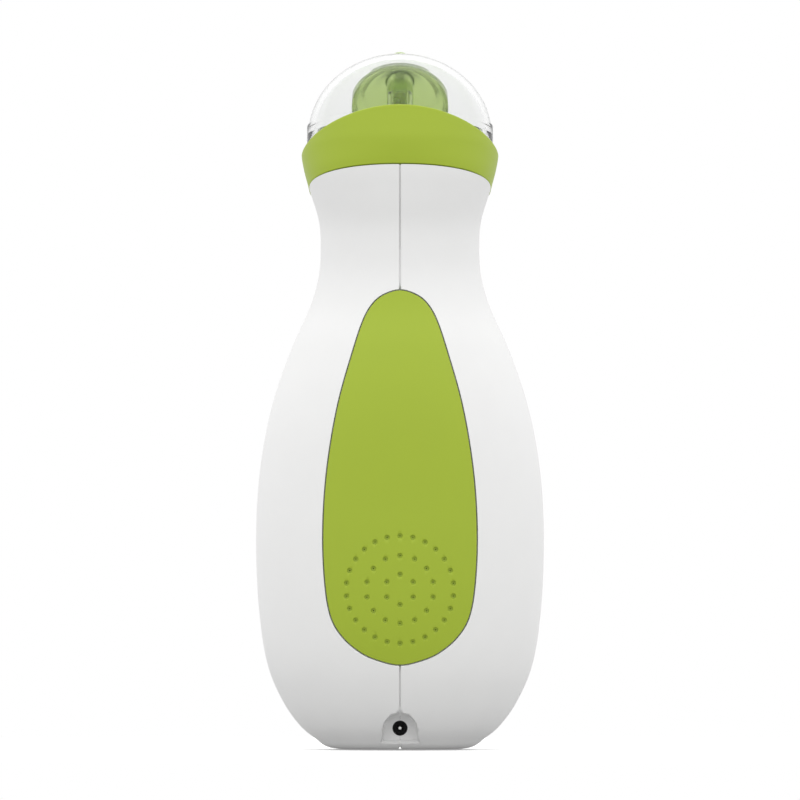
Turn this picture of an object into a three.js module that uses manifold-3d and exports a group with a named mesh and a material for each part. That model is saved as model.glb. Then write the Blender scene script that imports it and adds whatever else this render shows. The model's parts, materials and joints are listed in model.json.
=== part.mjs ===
// Cordless nasal aspirator: a hand-held suction device for infants.
// Millimetres, +Z up. The front, with the controls and the nozzle, faces -Y.
// The base stands flat on Z = 0 and the plan of the whole object is centred on the origin.

import * as THREE from 'three';
import { mergeVertices } from 'three/addons/utils/BufferGeometryUtils.js';
import Module from 'manifold-3d';

const wasm = await Module();
wasm.setup();

// ---------------------------------------------------------------- driving dimensions

const GAP = 0.3; // clearance between neighbouring pieces
const FAR = 80; // reach of a cutter that has to run clear of everything

// Body: half-width [mm] at height [mm], from the base up to the flare under the collar.
const BODY_PROFILE = [
  [0, 17.0], [2.3, 21.3], [5.4, 25.2], [11.6, 29.8], [20.9, 33.9], [33.3, 36.1],
  [50, 37.1], [66, 36.7], [80, 34.9], [92, 32.0], [104, 27.7], [114, 23.2],
  [122, 20.95], [129, 20.45], [136, 20.9], [143.7, 23.2], [148, 24.6], [153, 25.4],
];
const BODY_TOP = 153;
const BELLY = { depthRatio: 0.87, exponent: 2.35, until: 60 };
const NECK = { depthRatio: 1.0, exponent: 2.2, from: 125 };
const WALL = 3.0;
const RECESS = 1.5; // depth of the panel recesses
const PANEL = 1.2; // thickness of the panels
const BUTTON_PROUD = 0.8;

// Collar's lower edge: a plane that rises towards the back.
const EDGE = { height: 143.9, tilt: THREE.MathUtils.degToRad(16) };

// Head frame: origin at the dome's centre, Z along the direction the dome lifts off.
const HEAD = { pivot: 148, rise: 10.4, tilt: THREE.MathUtils.degToRad(10) };
const DOME = { radius: 23.7, height: 21.1, wall: 1.3, skirtRadius: 24.0, skirtTop: 2.3, skirtFoot: -7 };
const COLLAR = { bore: 24.3, shelf: -7.3, throat: 22.3, ledge: 20.6 };
const COLLAR_PROFILE = [
  [22.6, -19], [23.5, -13.9], [24.7, -9.3], [25.4, -5.2], [25.3, -1.5], [25.05, 3], [24.95, 14],
];
// The collar's rim is level round the front and slopes up to a hood at the back: see rimHeight().
const RIM = { front: 152.0, slope: 14.0, blend: 0.2 };
// The collar's section squares off between these heights, to meet the neck's own section.
const COLLAR_SQUARE = { exponent: 2.3, from: -14, until: -5 };

// Nozzle frame: origin at the dome's centre, Z along the nozzle.
const NOZZLE = { elevation: THREE.MathUtils.degToRad(31), back: 14.7, hole: 12.9 };
const TIP_END = 39.0;
const TUBE = { bore: 1.8, radius: 2.6, root: 3.5, front: 34.5 }; // down the middle of the nozzle cap

// Chamber cup, under the dome, in the head frame, and the suction chimney that stands in it.
const CUP = {
  foot: -9.4, floor: -7.8, rim: 0.5, radius: 21.9, wall: 1.7, groove: [-3.6, -1.6], grooveDepth: 1,
};
const CHIMNEY = { y: 15, radius: 3.0, bore: 1.8, top: 8.5, portRadius: 1.7, portBore: 0.9, portFoot: -14 };
const FILTER_FOOT = 4;
const SEAL_CROWN = 0.2; // how far the seal stands out of the cup

// Panels: half-width at height, the upper end first. The outline is mirrored about X = 0.
const PANEL_OUTLINE = [
  [0, 118.5], [4.0, 117.4], [6.84, 115.3], [9.4, 111.2], [12.25, 102.9], [16.25, 88.5], [19.0, 72],
  [20, 56.5], [19.5, 43], [17.9, 34], [14.6, 28.6], [9.5, 24.5], [4.1, 22.4], [0, 21.7],
];
const PANEL_CENTRE = 70;
const PANEL_START = 5; // the panels' prisms start this far from the middle plane

// Speaker grille: rings of round holes about one centre.
const GRILLE = { height: 41.3, holeRadius: 0.65, inner: 15, rings: [[26, 13.8], [14, 8.7], [6, 3.9]] };
const SPEAKER_OPENING = 14.6;

// Controls on the front, on the centre line.
const BUTTONS = [
  { name: 'power', height: 84, radius: 6.5 },
  { name: 'plus', height: 66, radius: 4.5 },
  { name: 'minus', height: 52, radius: 4.5 },
];
const BUTTON_STEM = 2.0;
const STEM_HOLE = 2.6;
const STEM_END = -27.3;
const BUTTON_BACK = -15; // where a button's cap bar ends before it is trimmed to the body
const LENS = { height: 36, width: 2.8, length: 19.4 };
const BOARD = { front: -24.0, back: -22.4, halfWidth: 13, bottom: 24, top: 91 };
const SWITCH = { half: 3, thick: 2.1 };
const LIGHTS = { count: 5, pitch: 4, halfWidth: 1, halfHeight: 0.8, thick: 1.0 };
const SOLDER = 0.1; // between the board and what stands on it

// Charging socket, low on the back.
const JACK = {
  height: 5.55, face: 16.8, radius: 2.0, bore: 1.75, pin: 0.65, backWall: 8,
  archRadius: 4.5, archHeight: 5.05, archFoot: 2.0,
};
const JACK_BODY = { halfWidth: 3.2, back: 5.8, front: 13.3, down: 3, up: 3.3 };
const JACK_PAD = { halfWidth: 7, inner: 13.6, bottom: 1.5, top: 12.5 }; // thick wall round the socket
const JACK_POCKET = { halfWidth: 3.5, inner: 5, top: 9.2 };

// Case screws, under the rear panel: radii and lengths along Y from the boss's inner end.
const SCREW = {
  boss: 4, hole: 1.5, seat: 2.9, seatDepth: 2, head: 2.4, headEnd: 3.8, thread: 1.0, threadEnd: 6.5,
  post: 3, pilot: 1.3, pilotEnd: 8,
};
// [x, z, y of the boss's inner end]
const CASE_SCREWS = [
  [-12.5, 60.5, 23.6], [12.5, 60.5, 23.6], [-8, 96, 21.0], [8, 96, 21.0],
];

// Motor and pump, on one vertical shaft.
const MOTOR = { y: -4, radius: 12, bottom: 78, top: 103.6, shaft: 1.0, shaftBelow: 1.2, shaftAbove: 3.2 };
const ARMATURE = { bore: 1.3, radius: 8.5, clear: 4 };
const MOUNT = { radius: 14.5, band: [86, 94], ear: [13.5, 24], earHalf: 2.5, earHeight: [88, 92] };
const CRANK = { offset: 1.2, height: 109.8, pin: 1.5, pinEnd: 2.2, hub: 3.4, hubFrom: 1.4, hubTo: 4.2 };
const ROD = { bigBore: 4.2, bigRadius: 5.8, down: 1.3, up: 1.5, armHalf: 1.5, armEnd: 7 };
const PISTON = { radius: 3.5, y: [6.6, 7.7] };
const PUMP = {
  halfWidth: 9.5, low: 103.9, high: 115.7, plate: 10.8, plateThick: 1.5, portX: 4, portRadius: 1.2,
  coverThick: 4.2, spoutTop: 121, spoutRadius: 1.7, spoutBore: 0.9, spoutY: 2.2, pocket: 2.6,
};
const CRANKCASE = { y: [-13.2, 9.6], cavityY: [-11.6, 10], side: 2, floor: 0.8, shaftHole: 1.6 };
const DIAPHRAGM = { radius: 4.7, y: [8.0, 9.0] };
const FLAP = { radius: 2.1, y: [0.1, 0.6] };
const CHASSIS = {
  halfWidth: 15, front: 8.6, back: 10.4, top: 102, shelf: [5.2, 7.2], shelfFront: -12,
  notch: { halfWidth: 5, y: [3.5, 15], z: [4, 11] }, motorWindow: { halfWidth: 8.3, z: [85.5, 94.5] },
};
const SUCTION_TUBE = {
  radius: 2.8, bore: 1.2, onInlet: 3.5, onPort: 3.2, bends: [[-3, 12.2, 128], [-1, 12.6, 138]],
};
const CELL = { radius: 9.2, bottom: 7.5, length: 65, x: 9.6, y: -1.5 };

// ---------------------------------------------------------------- materials

const finish = (color, roughness, metalness = 0, extra = {}) =>
  new THREE.MeshStandardMaterial({ color, roughness, metalness, ...extra });

const MATERIALS = {
  white: finish(0xf1f1ef, 0.45),
  green: finish(0xa3b840, 0.5),
  clear: finish(0xf4f6f6, 0.08, 0, { transparent: true, opacity: 0.35 }),
  greenClear: finish(0x9cb45a, 0.2, 0, { transparent: true, opacity: 0.7 }),
  softGreen: finish(0xc4d67a, 0.6),
  grey: finish(0x8d9092, 0.55),
  black: finish(0x1c1d1f, 0.5),
  rubber: finish(0x2b2c2e, 0.8),
  steel: finish(0xb9bcc0, 0.3, 1),
  copper: finish(0xb06a3a, 0.4, 1),
  board: finish(0x1f6a3f, 0.5),
  cell: finish(0x3a5f9e, 0.5),
  paper: finish(0xe6e2d6, 0.9),
};

// ---------------------------------------------------------------- solids

// A closed geometry as a manifold solid, with its faces turned outwards.
function solidFrom(geometry) {
  const bare = geometry.clone();
  bare.deleteAttribute('normal');
  bare.deleteAttribute('uv');
  const merged = mergeVertices(bare, 1e-4);
  const positions = merged.attributes.position;
  const index = merged.index.array;
  const triangles = [];
  let volume = 0;
  const a = new THREE.Vector3();
  const b = new THREE.Vector3();
  const c = new THREE.Vector3();
  for (let i = 0; i < index.length; i += 3) {
    const [p, q, r] = [index[i], index[i + 1], index[i + 2]];
    if (p === q || q === r || r === p) continue;
    triangles.push(p, q, r);
    a.fromBufferAttribute(positions, p);
    b.fromBufferAttribute(positions, q);
    c.fromBufferAttribute(positions, r);
    volume += a.dot(b.cross(c));
  }
  if (volume < 0) triangles.reverse();
  return new wasm.Manifold(new wasm.Mesh({
    numProp: 3,
    vertProperties: new Float32Array(positions.array),
    triVerts: new Uint32Array(triangles),
  }));
}

function geometryFrom(solid) {
  const mesh = solid.getMesh();
  const geometry = new THREE.BufferGeometry();
  geometry.setAttribute('position', new THREE.BufferAttribute(new Float32Array(mesh.vertProperties), 3));
  geometry.setIndex(new THREE.BufferAttribute(new Uint32Array(mesh.triVerts), 1));
  geometry.computeVertexNormals();
  return geometry;
}

const joined = (...solids) => solids.reduce((sum, solid) => sum.add(solid));
const cut = (solid, ...tools) => tools.reduce((rest, tool) => rest.subtract(tool), solid);

function block([x0, x1], [y0, y1], [z0, z1]) {
  const geometry = new THREE.BoxGeometry(x1 - x0, y1 - y0, z1 - z0);
  geometry.translate((x0 + x1) / 2, (y0 + y1) / 2, (z0 + z1) / 2);
  return solidFrom(geometry);
}

// The range from -half to half.
const mirrored = (half) => [-half, half];

// A round bar along Y from y0 to y1.
function barY(radius, [y0, y1], x, z, sides = 16) {
  const geometry = new THREE.CylinderGeometry(radius, radius, y1 - y0, sides);
  geometry.translate(x, (y0 + y1) / 2, z);
  return solidFrom(geometry);
}

// A round bar along Z from z0 to z1.
function barZ(radius, [z0, z1], x = 0, y = 0, sides = 16) {
  const geometry = new THREE.CylinderGeometry(radius, radius, z1 - z0, sides);
  geometry.rotateX(Math.PI / 2);
  geometry.translate(x, y, (z0 + z1) / 2);
  return solidFrom(geometry);
}

// A profile of [radius, height] points turned about Z, as a geometry.
function turnedGeometry(profile, segments) {
  const points = profile.map(([radius, height]) => new THREE.Vector2(radius, height));
  const geometry = new THREE.LatheGeometry(points, segments);
  geometry.rotateX(Math.PI / 2);
  return geometry;
}

const turned = (profile, segments = 24) => solidFrom(turnedGeometry(profile, segments));

// A turned piece whose axis is Y, with profile heights measured along +Y, centred at (x, z).
function turnedY(profile, x, z, segments = 24) {
  const geometry = turnedGeometry(profile, segments);
  geometry.rotateX(-Math.PI / 2);
  geometry.translate(x, 0, z);
  return solidFrom(geometry);
}

// A ring of rectangular section about Z.
const ringZ = (inner, outer, [z0, z1], segments = 24) =>
  turned([[inner, z0], [outer, z0], [outer, z1], [inner, z1], [inner, z0]], segments);

// ---------------------------------------------------------------- the body's surface

// Half-width at a height: a cubic through BODY_PROFILE, with slopes from the neighbouring points.
function halfWidthAt(height) {
  const last = BODY_PROFILE.length - 1;
  let i = 0;
  while (i < last - 1 && height > BODY_PROFILE[i + 1][0]) i += 1;
  const slope = (k) => {
    const [z0, w0] = BODY_PROFILE[Math.max(k - 1, 0)];
    const [z1, w1] = BODY_PROFILE[Math.min(k + 1, last)];
    return (w1 - w0) / (z1 - z0);
  };
  const [z0, w0] = BODY_PROFILE[i];
  const [z1, w1] = BODY_PROFILE[i + 1];
  const span = z1 - z0;
  const t = (height - z0) / span;
  const s = 1 - t;
  return s * s * (1 + 2 * t) * w0 + t * t * (3 - 2 * t) * w1
    + span * t * s * (s * slope(i) - t * slope(i + 1));
}

// The belly's section is a flattened superellipse that turns nearly round at the neck.
function sectionAt(height) {
  const t = THREE.MathUtils.smoothstep(height, BELLY.until, NECK.from);
  return {
    depthRatio: THREE.MathUtils.lerp(BELLY.depthRatio, NECK.depthRatio, t),
    exponent: THREE.MathUtils.lerp(BELLY.exponent, NECK.exponent, t),
  };
}

// Squares off a turned geometry: section(height) gives the depth ratio and the exponent there.
function reshape(geometry, section) {
  const positions = geometry.attributes.position;
  for (let i = 0; i < positions.count; i += 1) {
    const x = positions.getX(i);
    const y = positions.getY(i);
    const radius = Math.hypot(x, y);
    if (radius < 1e-6) continue;
    const { depthRatio, exponent } = section(positions.getZ(i));
    const power = 2 / exponent;
    const across = Math.sign(x) * Math.abs(x / radius) ** power;
    const along = Math.sign(y) * Math.abs(y / radius) ** power;
    positions.setXY(i, radius * across, radius * depthRatio * along);
  }
  return geometry;
}

// The body's outline as one solid, drawn in by inset [mm], or swollen where inset is negative.
function bodySolid(inset, segments = 28) {
  const base = Math.max(inset, 0);
  const heights = BODY_PROFILE.map(([height]) => height).filter((height) => height > base + 1);
  const walls = [base, ...heights].map((height) => [halfWidthAt(height) - inset, height]);
  const geometry = turnedGeometry([[0, base], ...walls, [0, BODY_TOP]], segments);
  return solidFrom(reshape(geometry, (height) => {
    const { depthRatio, exponent } = sectionAt(height);
    const halfWidth = halfWidthAt(height);
    return { depthRatio: (halfWidth * depthRatio - inset) / (halfWidth - inset), exponent };
  }));
}

// Everything above the collar's lower edge, or everything below it.
function edgeCutter(offset, above) {
  const geometry = new THREE.BoxGeometry(2 * FAR, 2 * FAR, FAR);
  geometry.translate(0, 0, above ? FAR / 2 : -FAR / 2);
  geometry.rotateX(EDGE.tilt);
  geometry.translate(0, 0, EDGE.height + offset);
  return geometry;
}

// The panels' outline, drawn in by inset, swept along Y. side is +1 for the rear, -1 for the front.
function panelPrism(inset, side) {
  const right = PANEL_OUTLINE.map(([x, z]) => new THREE.Vector3(x, z, 0));
  const left = PANEL_OUTLINE.slice(1, -1).reverse().map(([x, z]) => new THREE.Vector3(-x, z, 0));
  const curve = new THREE.CatmullRomCurve3([...right, ...left], true, 'centripetal');
  const halfWidth = Math.max(...PANEL_OUTLINE.map(([x]) => x));
  const halfHeight = (PANEL_OUTLINE[0][1] - PANEL_OUTLINE.at(-1)[1]) / 2;
  const points = curve.getPoints(36).slice(0, -1).map((point) => new THREE.Vector2(
    point.x * (1 - inset / halfWidth),
    PANEL_CENTRE + (point.y - PANEL_CENTRE) * (1 - inset / halfHeight),
  ));
  const outline = new THREE.Shape(points);
  const geometry = new THREE.ExtrudeGeometry(outline, { depth: FAR / 2, bevelEnabled: false });
  geometry.rotateX(Math.PI / 2);
  geometry.translate(0, side > 0 ? FAR / 2 + PANEL_START : -PANEL_START, 0);
  return solidFrom(geometry);
}

// ---------------------------------------------------------------- shells and panels

// The stadium-shaped window over the level lights.
function lensPrism(grow) {
  const radius = LENS.width / 2 + grow;
  const straight = (LENS.length - LENS.width) / 2;
  const y = [-FAR / 2, BOARD.front - 2];
  return joined(
    barY(radius, y, 0, LENS.height + straight),
    barY(radius, y, 0, LENS.height - straight),
    block(mirrored(radius), y, [LENS.height - straight, LENS.height + straight]),
  );
}

// The recess round the charging socket: an upright slot with a round head, open to the base.
function jackRecess() {
  const { face, archRadius, archHeight, archFoot } = JACK;
  const y = [face, FAR / 2];
  return joined(
    barY(archRadius, y, 0, archHeight, 20),
    block(mirrored(archRadius), y, [archFoot, archHeight]),
  );
}

function makeShells(outer, recessFloor) {
  const bosses = CASE_SCREWS.map(([x, z, y]) =>
    barY(SCREW.boss, [y, FAR / 2], x, z, 12).intersect(recessFloor));
  const pad = JACK_PAD;
  const jackBlock = block(mirrored(pad.halfWidth), [pad.inner, FAR / 2], [pad.bottom, pad.top])
    .intersect(outer);
  const walls = joined(cut(outer, bodySolid(WALL, 18)), jackBlock, ...bosses);
  const screwHoles = CASE_SCREWS.flatMap(([x, z, y]) => [
    barY(SCREW.hole, [y - 1, FAR / 2], x, z, 10),
    barY(SCREW.seat, [y + SCREW.seatDepth, FAR / 2], x, z, 12),
  ]);
  const stemHoles = BUTTONS.map(({ height }) =>
    barY(STEM_HOLE, [-FAR / 2, BOARD.front], 0, height, 12));
  const pocketFloor = JACK.height - JACK_BODY.down - GAP;
  const shell = cut(
    walls,
    cut(panelPrism(0, 1), recessFloor),
    cut(panelPrism(0, -1), recessFloor),
    barY(SPEAKER_OPENING, [GRILLE.inner, FAR / 2], 0, GRILLE.height, 24),
    ...screwHoles,
    ...stemHoles,
    lensPrism(GAP),
    jackRecess(),
    block(mirrored(JACK_POCKET.halfWidth), [JACK_POCKET.inner, pad.inner], [pocketFloor, JACK_POCKET.top]),
    barY(JACK.radius + GAP, [JACK_BODY.back, FAR / 2], 0, JACK.height, 16),
    solidFrom(edgeCutter(-GAP / 2, true)),
  );
  const half = (side) => block(side > 0 ? [GAP / 2, FAR] : [-FAR, -GAP / 2], [-FAR, FAR], [-1, 2 * FAR]);
  return { left: shell.intersect(half(1)), right: shell.intersect(half(-1)) };
}

function makePanel(outer, side) {
  return cut(outer, bodySolid(PANEL)).intersect(panelPrism(GAP, side));
}

function makeGrilleHoles() {
  return GRILLE.rings.flatMap(([count, ringRadius]) => Array.from({ length: count }, (_, i) => {
    const angle = Math.PI / 2 + (2 * Math.PI * i) / count;
    const x = ringRadius * Math.cos(angle);
    const z = GRILLE.height + ringRadius * Math.sin(angle);
    return barY(GRILLE.holeRadius, [GRILLE.inner, FAR / 2], x, z, 5);
  }));
}

// A button: a cap that stands a little proud of the panel, on a stem that reaches in to its switch.
function makeButton({ height, radius }, proud) {
  const cap = cut(barY(radius, [-FAR / 2, BUTTON_BACK], 0, height, 24).intersect(proud), bodySolid(GAP));
  const stem = barY(BUTTON_STEM, [-FAR / 2, STEM_END], 0, height, 12).intersect(bodySolid(0));
  return joined(cap, stem);
}

// ---------------------------------------------------------------- head

const headFrame = new THREE.Matrix4().compose(
  new THREE.Vector3(0, -HEAD.rise * Math.sin(HEAD.tilt), HEAD.pivot + HEAD.rise * Math.cos(HEAD.tilt)),
  new THREE.Quaternion().setFromAxisAngle(new THREE.Vector3(1, 0, 0), HEAD.tilt),
  new THREE.Vector3(1, 1, 1),
);
const toHeadFrame = headFrame.clone().invert();
const nozzleTilt = Math.PI / 2 - NOZZLE.elevation - HEAD.tilt;

// Height of the collar's rim, for the cosine of the angle from the back.
const rimHeight = (fromBack) =>
  RIM.front + (RIM.slope * (fromBack + Math.hypot(fromBack, RIM.blend))) / 2;

// Everything above the collar's rim.
function rimCutter() {
  const withinBore = COLLAR.bore / 2;
  const geometry = turnedGeometry([[0, 0], [withinBore, 0], [FAR, 0], [FAR, FAR], [0, FAR]], 36);
  const positions = geometry.attributes.position;
  for (let i = 0; i < positions.count; i += 1) {
    const x = positions.getX(i);
    const y = positions.getY(i);
    const z = positions.getZ(i);
    const radius = Math.hypot(x, y);
    const onLowerFace = z < FAR / 2 && radius > 1;
    positions.setZ(i, z + rimHeight(onLowerFace ? y / radius : 0));
  }
  return geometry;
}

function makeCollar() {
  const top = COLLAR_PROFILE.at(-1)[1];
  const foot = COLLAR_PROFILE[0][1];
  const profile = new THREE.SplineCurve(COLLAR_PROFILE.map(([r, s]) => new THREE.Vector2(r, s)));
  const wall = profile.getPoints(8).map((point) => [point.x, point.y]);
  const outer = reshape(turnedGeometry([[0, foot], ...wall, [0, top]], 36), (height) => ({
    depthRatio: 1,
    exponent: THREE.MathUtils.lerp(
      COLLAR_SQUARE.exponent, 2, THREE.MathUtils.smoothstep(height, COLLAR_SQUARE.from, COLLAR_SQUARE.until),
    ),
  }));
  const bore = turned([
    [0, foot - 1], [COLLAR.ledge, foot - 1], [COLLAR.ledge, CUP.foot - GAP],
    [COLLAR.throat, CUP.foot - GAP], [COLLAR.throat, COLLAR.shelf], [COLLAR.bore, COLLAR.shelf],
    [COLLAR.bore, top + 1], [0, top + 1],
  ], 36);
  return cut(
    solidFrom(outer),
    bore,
    solidFrom(edgeCutter(GAP / 2, false).applyMatrix4(toHeadFrame)),
    solidFrom(rimCutter().applyMatrix4(toHeadFrame)),
  );
}

// One quarter of the dome's ellipse, from the skirt's top to the crown, drawn in by inset.
function domeArc(inset, from, steps) {
  const radius = DOME.radius - inset;
  const height = DOME.height - inset;
  const start = Math.asin(from / height);
  return Array.from({ length: steps + 1 }, (_, i) => {
    const angle = THREE.MathUtils.lerp(start, Math.PI / 2, i / steps);
    return [i === steps ? 0 : radius * Math.cos(angle), height * Math.sin(angle)];
  });
}

function makeDome() {
  const outer = turned([
    [0, DOME.skirtFoot], [DOME.skirtRadius, DOME.skirtFoot], [DOME.skirtRadius, DOME.skirtTop],
    ...domeArc(0, DOME.skirtTop, 7),
  ], 28);
  const hollow = turned([
    [0, DOME.skirtFoot - 1], [DOME.radius - DOME.wall, DOME.skirtFoot - 1], ...domeArc(DOME.wall, 0, 7),
  ], 28);
  const holeBar = new THREE.CylinderGeometry(NOZZLE.hole, NOZZLE.hole, DOME.height, 24);
  holeBar.translate(0, NOZZLE.back + DOME.height / 2 - 2, 0);
  holeBar.rotateX(Math.PI / 2 + nozzleTilt);
  return cut(outer, hollow, solidFrom(holeBar));
}

// The nozzle cap, in the nozzle's frame: a thin plug, a hollow cone in front and a tube down the middle.
function makeNozzleCap() {
  const plug = NOZZLE.hole - GAP;
  const back = NOZZLE.back;
  return turned([
    [plug, back], [plug, 19.9], [12.2, 20.5], [11.5, 21.3], [10.3, 22.5], [9.0, 24.0], [7.2, 26.0],
    [5.0, 29.5], [4.2, 31.0],
    [TUBE.radius, 31.0], [TUBE.radius, TUBE.front], [TUBE.bore, TUBE.front], [TUBE.bore, back - 1],
    [TUBE.root, back - 1], [TUBE.root, 28.0],
    [3.9, 28.0], [5.9, 24.6], [8.0, 21.8], [9.0, 20.2], [9.2, 18.9], [plug - 1.2, 18.6], [plug - 1.2, back],
    [plug, back],
  ], 22);
}

function makeNoseTip() {
  return turned([
    [4.2, 31.3], [3.9, 33.0], [3.2, 35.2], [2.7, 37.0], [2.6, TIP_END - 0.6], [2.1, TIP_END],
    [1.3, TIP_END], [1.3, 35.0], [2.9, 34.8], [2.9, 31.3], [4.2, 31.3],
  ], 16);
}

// The cup under the dome: floor, wall with the seal's groove, and the suction chimney at the back.
function makeChamberCup() {
  const { foot, floor, rim, radius, wall, groove, grooveDepth } = CUP;
  const waist = radius - grooveDepth;
  const cup = turned([
    [0, foot], [radius, foot], [radius, groove[0]], [waist, groove[0]], [waist, groove[1]],
    [radius, groove[1]], [radius, rim], [radius - wall, rim], [radius - wall, floor], [0, floor],
  ], 28);
  const chimney = barZ(CHIMNEY.radius, [foot + 0.5, CHIMNEY.top], 0, CHIMNEY.y, 16);
  const port = barZ(CHIMNEY.portRadius, [CHIMNEY.portFoot, foot + 1], 0, CHIMNEY.y, 12);
  return cut(
    joined(cup, chimney, port),
    barZ(CHIMNEY.bore, [foot + 2, CHIMNEY.top + 1], 0, CHIMNEY.y, 12),
    barZ(CHIMNEY.portBore, [CHIMNEY.portFoot - 1, foot + 3], 0, CHIMNEY.y, 10),
  );
}

function makeDomeSeal() {
  const { radius, groove, grooveDepth } = CUP;
  const [low, high] = [groove[0] + GAP / 2, groove[1] - GAP / 2];
  const [inner, outer] = [radius - grooveDepth + GAP / 2, radius + SEAL_CROWN];
  const middle = (low + high) / 2;
  return turned([
    [inner, low + 0.2], [inner + 0.3, low], [outer - 0.4, low], [outer, middle],
    [outer - 0.4, high], [inner + 0.3, high], [inner, high - 0.2], [inner, low + 0.2],
  ], 28);
}

// ---------------------------------------------------------------- inside the body

// The chassis: an upright plate with a shelf under the cells and a post behind each case screw.
function makeChassis() {
  const { halfWidth, front, back, top, shelf, shelfFront, notch, motorWindow } = CHASSIS;
  const posts = CASE_SCREWS.map(([x, z, y]) => barY(SCREW.post, [back - 1, y - GAP], x, z, 12));
  const pilots = CASE_SCREWS.map(([x, z, y]) => barY(SCREW.pilot, [y - SCREW.pilotEnd, y + 1], x, z, 10));
  return cut(
    joined(
      block(mirrored(halfWidth), [shelfFront, back], shelf),
      block(mirrored(halfWidth), [front, back], [shelf[0], top]),
      ...posts,
    ),
    block(mirrored(notch.halfWidth), notch.y, notch.z),
    block(mirrored(motorWindow.halfWidth), [front - 1, back + 1], motorWindow.z),
    ...pilots,
  );
}

function makeCaseScrew([x, z, y]) {
  const underHead = y + SCREW.seatDepth + GAP;
  return joined(
    barY(SCREW.head, [underHead, y + SCREW.headEnd], x, z, 12),
    barY(SCREW.thread, [y - SCREW.threadEnd, underHead + 0.5], x, z, 8),
  );
}

function makeMotor() {
  const { y, radius, bottom, top, shaftBelow, shaftAbove } = MOTOR;
  const shaft = barZ(MOTOR.shaft, [bottom - shaftBelow, top + shaftAbove], 0, y, 10);
  const can = turned([
    [radius, bottom], [radius, top], [2.5, top], [2.5, top - 1], [radius - 1, top - 1],
    [radius - 1, bottom], [radius, bottom],
  ], 24).translate([0, y, 0]);
  const endCap = ringZ(1.4, radius - 0.1, [bottom - 1.8, bottom - GAP]).translate([0, y, 0]);
  const armature = ringZ(ARMATURE.bore, ARMATURE.radius, [bottom + ARMATURE.clear, top - ARMATURE.clear], 20)
    .translate([0, y, 0]);
  return { shaft, can, endCap, armature };
}

function makeMotorMount() {
  const { y, radius } = MOTOR;
  const band = ringZ(radius + GAP, MOUNT.radius, MOUNT.band).translate([0, y, 0]);
  const [near, far] = MOUNT.ear;
  const depth = [y - MOUNT.earHalf, y + MOUNT.earHalf];
  const ears = [[near, far], [-far, -near]].map((across) => block(across, depth, MOUNT.earHeight));
  return joined(band, ...ears);
}

// The eccentric: a hub on the motor's shaft with a pin set off its axis.
function makeEccentric() {
  const { y, top, shaft, shaftAbove } = MOTOR;
  const { hub, hubFrom, hubTo, pin, pinEnd, height, offset } = CRANK;
  const disc = barZ(hub, [top + hubFrom, top + hubTo], 0, y, 16);
  const shaftBore = barZ(shaft + GAP, [top + 1, top + shaftAbove + GAP], 0, y, 10);
  return joined(cut(disc, shaftBore), barZ(pin, [top + hubTo - 0.2, height + pinEnd], offset, y, 12));
}

// The connecting rod: a big end round the crank pin, an arm, and the piston behind the diaphragm.
function makeConRod() {
  const z = [CRANK.height - ROD.down, CRANK.height + ROD.up];
  const ring = ringZ(ROD.bigBore, ROD.bigRadius, z, 20).translate([0, MOTOR.y, 0]);
  const arm = block(mirrored(ROD.armHalf), [MOTOR.y + ROD.bigBore + 0.4, ROD.armEnd], z);
  return joined(ring, arm, barY(PISTON.radius, PISTON.y, 0, CRANK.height, 16));
}

function makePump() {
  const { low, high, portRadius, coverThick, spoutTop, spoutRadius, spoutBore, pocket } = PUMP;
  const { side, floor, cavityY, shaftHole } = CRANKCASE;
  const x = mirrored(PUMP.halfWidth);
  const crankcase = cut(
    block(x, CRANKCASE.y, [low, high]),
    block(mirrored(PUMP.halfWidth - side), cavityY, [low + floor, high - floor]),
    barZ(shaftHole, [low - 1, low + 1], 0, MOTOR.y, 12),
  );
  const diaphragm = barY(DIAPHRAGM.radius, DIAPHRAGM.y, 0, CRANK.height, 20);
  const ports = mirrored(PUMP.portX);
  const plateBack = PUMP.plate + PUMP.plateThick;
  const plate = cut(
    block(x, [PUMP.plate, plateBack], [low, high]),
    ...ports.map((port) => barY(portRadius, [PUMP.plate - 1, plateBack + 1], port, CRANK.height, 10)),
  );
  const cover = plateBack + GAP;
  const spoutY = cover + PUMP.spoutY;
  const spouts = ports.map((port) => barZ(spoutRadius, [high - 1, spoutTop], port, spoutY, 12));
  const pockets = ports.map((port) => barY(pocket, [cover - 1, cover + 3], port, CRANK.height, 14));
  const spoutBores = ports.map((port) => barZ(spoutBore, [CRANK.height, spoutTop + 1], port, spoutY, 8));
  const box = block(x, [cover, cover + coverThick], [low, high]);
  const lid = cut(joined(box, ...spouts), ...pockets, ...spoutBores);
  const flap = (port) => barY(FLAP.radius, FLAP.y.map((y) => cover + y), port, CRANK.height, 14);
  return { crankcase, diaphragm, plate, lid, flaps: ports.map(flap) };
}

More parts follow.
